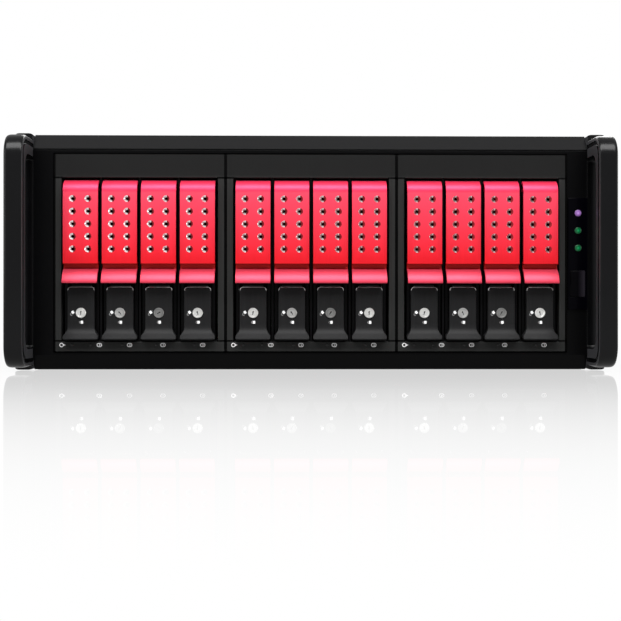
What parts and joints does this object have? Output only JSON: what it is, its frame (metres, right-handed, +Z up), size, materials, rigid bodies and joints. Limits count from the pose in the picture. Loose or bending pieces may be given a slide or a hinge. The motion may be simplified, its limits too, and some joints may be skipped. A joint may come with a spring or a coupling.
{
  "type": "disk shelf enclosure",
  "caption": "Rack-height disk shelf: a black cabinet with bow handles and upright hot-swap drive trays behind perforated red pull levers and keyed latches.",
  "frame": {"origin": "middle of the bounding box's footprint, on the floor plane", "axes": "+X to the right seen from the front, +Y to the rear, +Z up; the trays pull out along -Y"},
  "size_m": [0.4422, 0.4301, 0.177],
  "materials": {
    "chassis_steel": "matte",
    "bezel_black": "satin",
    "handle_black": "gloss",
    "screw_steel": "satin",
    "cage_plastic": "matte",
    "cage_steel": "satin",
    "board": "satin",
    "fan_plastic": "satin",
    "supply_case": "satin",
    "socket_plastic": "satin",
    "port_steel": "satin",
    "panel_gloss": "gloss",
    "button_gloss": "gloss",
    "lamp_lens": "gloss",
    "tray_metal": "satin",
    "lever_red": "brushed",
    "latch_black": "brushed"
  },
  "bodies": {
    "enclosure": {"chassis_tub": "chassis_steel", "top_cover": "chassis_steel", "bay_frame": "chassis_steel", "front_bezel": "bezel_black", "handle_left": "handle_black", "handle_right": "handle_black", "handle_screws": "screw_steel", "case_screws": "screw_steel", "cage_frames": "cage_plastic", "cage_shells": "cage_steel", "backplanes": "board", "fan_frames": "fan_plastic", "power_supply": "supply_case", "power_inlet": "socket_plastic", "data_ports": "port_steel", "control_panel": "panel_gloss", "status_lights": "lamp_lens"},
    "button": {"power_button": "button_gloss"},
    "switch": {"psu_switch": "socket_plastic"},
    "cage_fan_rotor_1": {"cage_fan_rotor_1": "fan_plastic"},
    "cage_fan_rotor_2": {"cage_fan_rotor_2": "fan_plastic"},
    "cage_fan_rotor_3": {"cage_fan_rotor_3": "fan_plastic"},
    "rear_fan_rotor_1": {"rear_fan_rotor_1": "fan_plastic"},
    "rear_fan_rotor_2": {"rear_fan_rotor_2": "fan_plastic"},
    "tray_01": {"tray_01": "tray_metal"},
    "lever_01": {"lever_01": "lever_red"},
    "latch_01": {"latch_01": "latch_black"},
    "tray_02": {"tray_02": "tray_metal"},
    "lever_02": {"lever_02": "lever_red"},
    "latch_02": {"latch_02": "latch_black"},
    "tray_03": {"tray_03": "tray_metal"},
    "lever_03": {"lever_03": "lever_red"},
    "latch_03": {"latch_03": "latch_black"},
    "tray_04": {"tray_04": "tray_metal"},
    "lever_04": {"lever_04": "lever_red"},
    "latch_04": {"latch_04": "latch_black"},
    "tray_05": {"tray_05": "tray_metal"},
    "lever_05": {"lever_05": "lever_red"},
    "latch_05": {"latch_05": "latch_black"},
    "tray_06": {"tray_06": "tray_metal"},
    "lever_06": {"lever_06": "lever_red"},
    "latch_06": {"latch_06": "latch_black"},
    "tray_07": {"tray_07": "tray_metal"},
    "lever_07": {"lever_07": "lever_red"},
    "latch_07": {"latch_07": "latch_black"},
    "tray_08": {"tray_08": "tray_metal"},
    "lever_08": {"lever_08": "lever_red"},
    "latch_08": {"latch_08": "latch_black"},
    "tray_09": {"tray_09": "tray_metal"},
    "lever_09": {"lever_09": "lever_red"},
    "latch_09": {"latch_09": "latch_black"},
    "tray_10": {"tray_10": "tray_metal"},
    "lever_10": {"lever_10": "lever_red"},
    "latch_10": {"latch_10": "latch_black"},
    "tray_11": {"tray_11": "tray_metal"},
    "lever_11": {"lever_11": "lever_red"},
    "latch_11": {"latch_11": "latch_black"},
    "tray_12": {"tray_12": "tray_metal"},
    "lever_12": {"lever_12": "lever_red"},
    "latch_12": {"latch_12": "latch_black"}
  },
  "joints": [
    {"name": "drawer_01_slide", "type": "slide", "parent": "enclosure", "child": "tray_01", "axis": [0, -1, 0], "range_m": [0, 0.175]},
    {"name": "drawer_01_lever", "type": "hinge", "parent": "tray_01", "child": "lever_01", "pos_m": [-0.17135, -0.1768, 0.135], "axis": [-1, 0, 0], "range_deg": [0, 65]},
    {"name": "drawer_01_latch", "type": "hinge", "parent": "tray_01", "child": "latch_01", "pos_m": [-0.17135, -0.1718, 0.0294], "axis": [-1, 0, 0], "range_deg": [0, 6], "stiffness_Nm_per_rad": 0.1, "springref_deg": -8.59},
    {"name": "button_press", "type": "slide", "parent": "enclosure", "child": "button", "axis": [0, 1, 0], "range_m": [0, 0.0015], "stiffness_N_per_m": 300, "springref_m": -0.001},
    {"name": "switch_rock", "type": "hinge", "parent": "enclosure", "child": "switch", "pos_m": [0.076, 0.2078, 0.0265], "axis": [0, 0, 1], "range_deg": [-16, 0]},
    {"name": "fan_cage_1_spin", "type": "hinge", "parent": "enclosure", "child": "cage_fan_rotor_1", "pos_m": [-0.128, 0.01945, 0.08245], "axis": [0, 1, 0], "continuous": true},
    {"name": "fan_cage_2_spin", "type": "hinge", "parent": "enclosure", "child": "cage_fan_rotor_2", "pos_m": [0, 0.01945, 0.08245], "axis": [0, 1, 0], "continuous": true},
    {"name": "fan_cage_3_spin", "type": "hinge", "parent": "enclosure", "child": "cage_fan_rotor_3", "pos_m": [0.128, 0.01945, 0.08245], "axis": [0, 1, 0], "continuous": true},
    {"name": "fan_rear_1_spin", "type": "hinge", "parent": "enclosure", "child": "rear_fan_rotor_1", "pos_m": [-0.15, 0.19925, 0.118], "axis": [0, 1, 0], "continuous": true},
    {"name": "fan_rear_2_spin", "type": "hinge", "parent": "enclosure", "child": "rear_fan_rotor_2", "pos_m": [-0.062, 0.19925, 0.118], "axis": [0, 1, 0], "continuous": true},
    {"name": "drawer_02_slide", "type": "slide", "parent": "enclosure", "child": "tray_02", "axis": [0, -1, 0], "range_m": [0, 0.175]},
    {"name": "drawer_02_lever", "type": "hinge", "parent": "tray_02", "child": "lever_02", "pos_m": [-0.14245, -0.1768, 0.135], "axis": [-1, 0, 0], "range_deg": [0, 65]},
    {"name": "drawer_02_latch", "type": "hinge", "parent": "tray_02", "child": "latch_02", "pos_m": [-0.14245, -0.1718, 0.0294], "axis": [-1, 0, 0], "range_deg": [0, 6], "stiffness_Nm_per_rad": 0.1, "springref_deg": -8.59},
    {"name": "drawer_03_slide", "type": "slide", "parent": "enclosure", "child": "tray_03", "axis": [0, -1, 0], "range_m": [0, 0.175]},
    {"name": "drawer_03_lever", "type": "hinge", "parent": "tray_03", "child": "lever_03", "pos_m": [-0.11355, -0.1768, 0.135], "axis": [-1, 0, 0], "range_deg": [0, 65]},
    {"name": "drawer_03_latch", "type": "hinge", "parent": "tray_03", "child": "latch_03", "pos_m": [-0.11355, -0.1718, 0.0294], "axis": [-1, 0, 0], "range_deg": [0, 6], "stiffness_Nm_per_rad": 0.1, "springref_deg": -8.59},
    {"name": "drawer_04_slide", "type": "slide", "parent": "enclosure", "child": "tray_04", "axis": [0, -1, 0], "range_m": [0, 0.175]},
    {"name": "drawer_04_lever", "type": "hinge", "parent": "tray_04", "child": "lever_04", "pos_m": [-0.08465, -0.1768, 0.135], "axis": [-1, 0, 0], "range_deg": [0, 65]},
    {"name": "drawer_04_latch", "type": "hinge", "parent": "tray_04", "child": "latch_04", "pos_m": [-0.08465, -0.1718, 0.0294], "axis": [-1, 0, 0], "range_deg": [0, 6], "stiffness_Nm_per_rad": 0.1, "springref_deg": -8.59},
    {"name": "drawer_05_slide", "type": "slide", "parent": "enclosure", "child": "tray_05", "axis": [0, -1, 0], "range_m": [0, 0.175]},
    {"name": "drawer_05_lever", "type": "hinge", "parent": "tray_05", "child": "lever_05", "pos_m": [-0.04335, -0.1768, 0.135], "axis": [-1, 0, 0], "range_deg": [0, 65]},
    {"name": "drawer_05_latch", "type": "hinge", "parent": "tray_05", "child": "latch_05", "pos_m": [-0.04335, -0.1718, 0.0294], "axis": [-1, 0, 0], "range_deg": [0, 6], "stiffness_Nm_per_rad": 0.1, "springref_deg": -8.59},
    {"name": "drawer_06_slide", "type": "slide", "parent": "enclosure", "child": "tray_06", "axis": [0, -1, 0], "range_m": [0, 0.175]},
    {"name": "drawer_06_lever", "type": "hinge", "parent": "tray_06", "child": "lever_06", "pos_m": [-0.01445, -0.1768, 0.135], "axis": [-1, 0, 0], "range_deg": [0, 65]},
    {"name": "drawer_06_latch", "type": "hinge", "parent": "tray_06", "child": "latch_06", "pos_m": [-0.01445, -0.1718, 0.0294], "axis": [-1, 0, 0], "range_deg": [0, 6], "stiffness_Nm_per_rad": 0.1, "springref_deg": -8.59},
    {"name": "drawer_07_slide", "type": "slide", "parent": "enclosure", "child": "tray_07", "axis": [0, -1, 0], "range_m": [0, 0.175]},
    {"name": "drawer_07_lever", "type": "hinge", "parent": "tray_07", "child": "lever_07", "pos_m": [0.01445, -0.1768, 0.135], "axis": [-1, 0, 0], "range_deg": [0, 65]},
    {"name": "drawer_07_latch", "type": "hinge", "parent": "tray_07", "child": "latch_07", "pos_m": [0.01445, -0.1718, 0.0294], "axis": [-1, 0, 0], "range_deg": [0, 6], "stiffness_Nm_per_rad": 0.1, "springref_deg": -8.59},
    {"name": "drawer_08_slide", "type": "slide", "parent": "enclosure", "child": "tray_08", "axis": [0, -1, 0], "range_m": [0, 0.175]},
    {"name": "drawer_08_lever", "type": "hinge", "parent": "tray_08", "child": "lever_08", "pos_m": [0.04335, -0.1768, 0.135], "axis": [-1, 0, 0], "range_deg": [0, 65]},
    {"name": "drawer_08_latch", "type": "hinge", "parent": "tray_08", "child": "latch_08", "pos_m": [0.04335, -0.1718, 0.0294], "axis": [-1, 0, 0], "range_deg": [0, 6], "stiffness_Nm_per_rad": 0.1, "springref_deg": -8.59},
    {"name": "drawer_09_slide", "type": "slide", "parent": "enclosure", "child": "tray_09", "axis": [0, -1, 0], "range_m": [0, 0.175]},
    {"name": "drawer_09_lever", "type": "hinge", "parent": "tray_09", "child": "lever_09", "pos_m": [0.08465, -0.1768, 0.135], "axis": [-1, 0, 0], "range_deg": [0, 65]},
    {"name": "drawer_09_latch", "type": "hinge", "parent": "tray_09", "child": "latch_09", "pos_m": [0.08465, -0.1718, 0.0294], "axis": [-1, 0, 0], "range_deg": [0, 6], "stiffness_Nm_per_rad": 0.1, "springref_deg": -8.59},
    {"name": "drawer_10_slide", "type": "slide", "parent": "enclosure", "child": "tray_10", "axis": [0, -1, 0], "range_m": [0, 0.175]},
    {"name": "drawer_10_lever", "type": "hinge", "parent": "tray_10", "child": "lever_10", "pos_m": [0.11355, -0.1768, 0.135], "axis": [-1, 0, 0], "range_deg": [0, 65]},
    {"name": "drawer_10_latch", "type": "hinge", "parent": "tray_10", "child": "latch_10", "pos_m": [0.11355, -0.1718, 0.0294], "axis": [-1, 0, 0], "range_deg": [0, 6], "stiffness_Nm_per_rad": 0.1, "springref_deg": -8.59},
    {"name": "drawer_11_slide", "type": "slide", "parent": "enclosure", "child": "tray_11", "axis": [0, -1, 0], "range_m": [0, 0.175]},
    {"name": "drawer_11_lever", "type": "hinge", "parent": "tray_11", "child": "lever_11", "pos_m": [0.14245, -0.1768, 0.135], "axis": [-1, 0, 0], "range_deg": [0, 65]},
    {"name": "drawer_11_latch", "type": "hinge", "parent": "tray_11", "child": "latch_11", "pos_m": [0.14245, -0.1718, 0.0294], "axis": [-1, 0, 0], "range_deg": [0, 6], "stiffness_Nm_per_rad": 0.1, "springref_deg": -8.59},
    {"name": "drawer_12_slide", "type": "slide", "parent": "enclosure", "child": "tray_12", "axis": [0, -1, 0], "range_m": [0, 0.175]},
    {"name": "drawer_12_lever", "type": "hinge", "parent": "tray_12", "child": "lever_12", "pos_m": [0.17135, -0.1768, 0.135], "axis": [-1, 0, 0], "range_deg": [0, 65]},
    {"name": "drawer_12_latch", "type": "hinge", "parent": "tray_12", "child": "latch_12", "pos_m": [0.17135, -0.1718, 0.0294], "axis": [-1, 0, 0], "range_deg": [0, 6], "stiffness_Nm_per_rad": 0.1, "springref_deg": -8.59}
  ]
}
